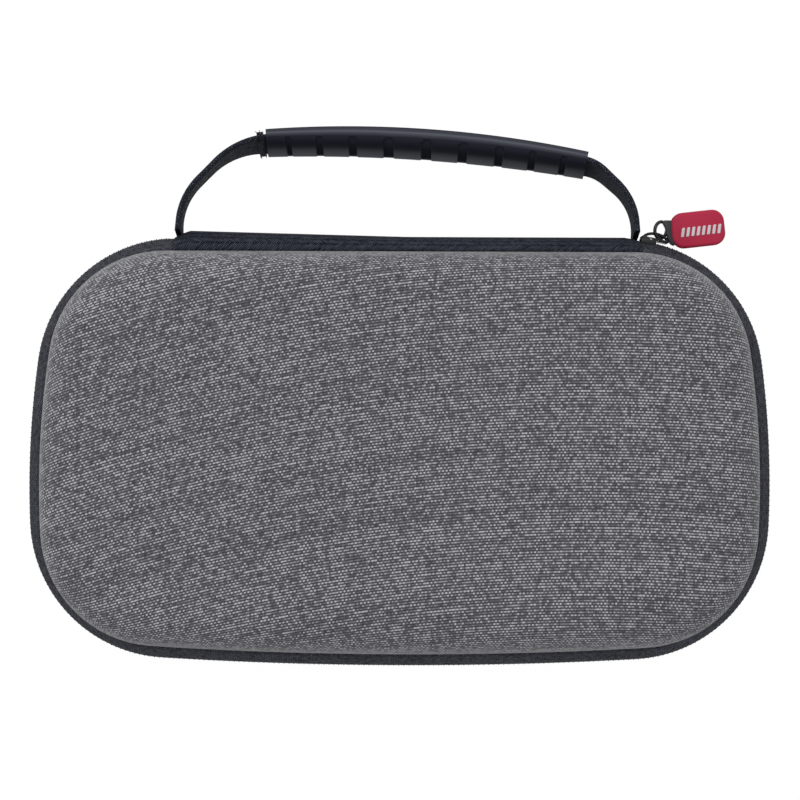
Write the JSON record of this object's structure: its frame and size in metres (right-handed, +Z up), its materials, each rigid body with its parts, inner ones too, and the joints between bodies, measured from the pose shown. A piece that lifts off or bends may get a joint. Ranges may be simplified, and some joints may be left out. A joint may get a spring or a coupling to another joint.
{
  "type": "portable game console case",
  "caption": "Zipped hard clamshell case for a hand-held game console, grey heather cloth shells, black zip band, webbing handle with a rubber grip, red zip pull.",
  "frame": {"origin": "middle of the flat underside of the base shell, on the surface the closed case lies on", "axes": "+X along the spine to the right of the zip pull's side, +Y to the rear, towards the spine and handle, +Z up through the lid"},
  "size_m": [0.2444, 0.1785, 0.056],
  "materials": {
    "heather_cloth": "grey heather plain weave bonded to a moulded foam shell",
    "zip_tape": "black woven zip tape",
    "zip_coil": "black nylon coil",
    "binding": "black grosgrain binding tape",
    "lining": "dark grey brushed lining",
    "pocket_net": "black open net",
    "pocket_elastic": "black ribbed elastic",
    "spine_twill": "black twill cloth",
    "handle_webbing": "black ribbed webbing",
    "grip_rubber": "black matt moulded rubber",
    "slider_metal": "black enamelled die casting, worn bright at the crown",
    "link_rubber": "black soft moulding",
    "tag_rubber": "red soft moulding"
  },
  "bodies": {
    "base": {"base_shell": "heather_cloth", "base_zip_tape": "zip_tape", "base_zip_coil": "zip_coil", "base_binding": "binding", "base_lining": "lining"},
    "spine": {"hinge_strip": "spine_twill"},
    "lid": {"lid_shell": "heather_cloth", "lid_zip_tape": "zip_tape", "lid_zip_coil": "zip_coil", "lid_binding": "binding", "lid_lining": "lining", "mesh_pocket": "pocket_net", "pocket_elastic": "pocket_elastic"},
    "handle": {"handle_strap": "handle_webbing", "handle_grip": "grip_rubber"},
    "slider": {"zip_slider": "slider_metal"},
    "pull": {"pull_link": "link_rubber", "pull_tag": "tag_rubber"}
  },
  "joints": [
    {"name": "spine_fold", "type": "hinge", "parent": "base", "child": "spine", "pos_m": [0, 0.0656, 0.017], "axis": [-1, 0, 0], "range_deg": [0, 90]},
    {"name": "lid_fold", "type": "hinge", "parent": "spine", "child": "lid", "pos_m": [0, 0.0656, 0.039], "axis": [-1, 0, 0], "range_deg": [0, 90]},
    {"name": "handle_swing", "type": "hinge", "parent": "spine", "child": "handle", "pos_m": [0, 0.0718, 0.028], "axis": [1, 0, 0], "range_deg": [-4, 26]},
    {"name": "slider_run", "type": "hinge", "parent": "base", "child": "slider", "pos_m": [0.07384, 0.0245, 0.028], "axis": [0, 0, -1], "range_deg": [0, 58]},
    {"name": "pull_swing", "type": "hinge", "parent": "slider", "child": "pull", "pos_m": [0.08717, 0.0718, 0.028], "axis": [0.212, 0.9773, 0], "range_deg": [-45, 45]}
  ],
  "couplings": [
    {"joint": "spine_fold", "follows": "lid_fold", "ratio": 1}
  ]
}
